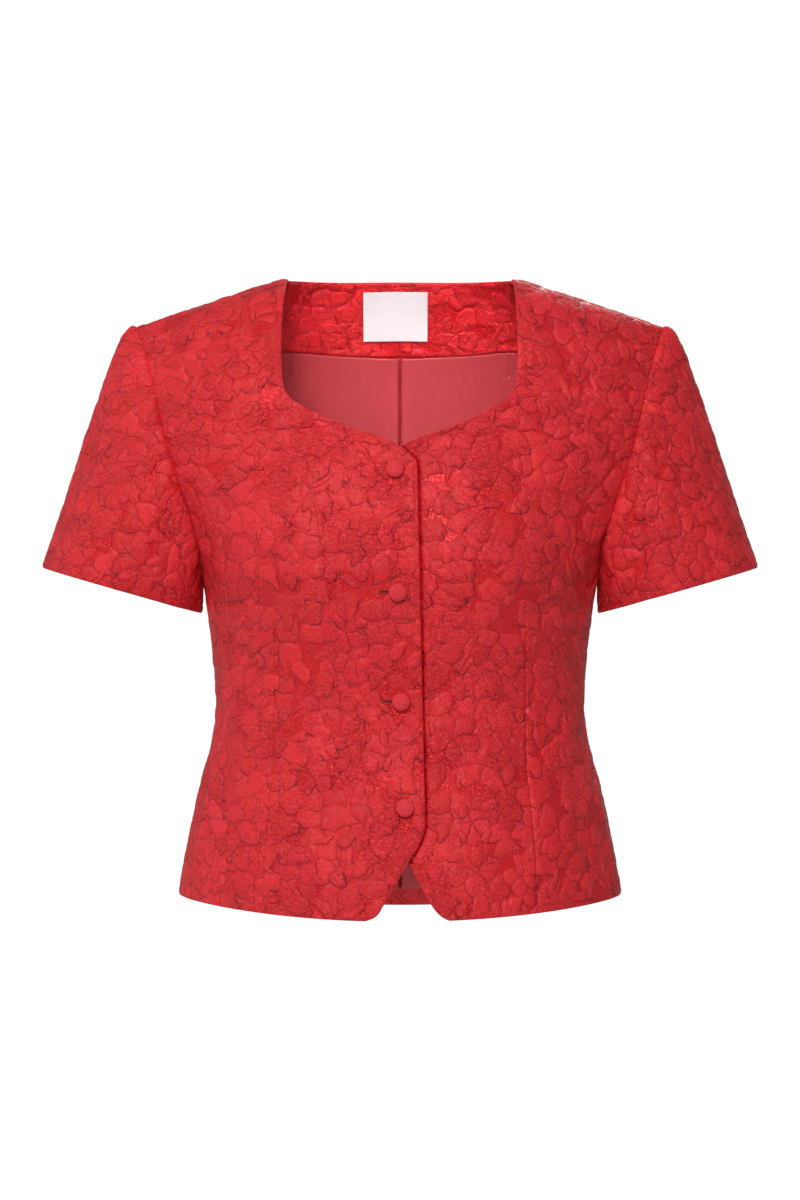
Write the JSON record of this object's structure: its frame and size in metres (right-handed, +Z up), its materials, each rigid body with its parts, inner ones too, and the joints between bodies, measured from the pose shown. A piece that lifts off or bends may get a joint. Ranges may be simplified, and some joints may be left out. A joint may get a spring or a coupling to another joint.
{
  "type": "short-sleeved blouse",
  "caption": "Fitted short-sleeved blouse in worn form, with a sweetheart-square neck, button front, notched hem, back neck facing and back lining.",
  "frame": {"origin": "midway between the two points where the shoulder seams meet the neck, where the wearer's shoulders hold the blouse up", "axes": "+Z up, the front faces -Y, +X towards the wearer's left"},
  "size_m": [0.5654, 0.2436, 0.507],
  "materials": {
    "shell_cloth": "puckered jacquard, matt motifs on a satin ground",
    "lining_satin": "smooth satin",
    "label_tape": "woven tape"
  },
  "bodies": {
    "root": {"front_right": "shell_cloth", "front_left": "shell_cloth", "back": "shell_cloth", "sleeve_right": "shell_cloth", "sleeve_left": "shell_cloth", "back_neck_facing": "shell_cloth", "lining_back": "lining_satin", "label": "label_tape", "button_1": "shell_cloth", "button_2": "shell_cloth", "button_3": "shell_cloth", "button_4": "shell_cloth"}
  },
  "joints": []
}
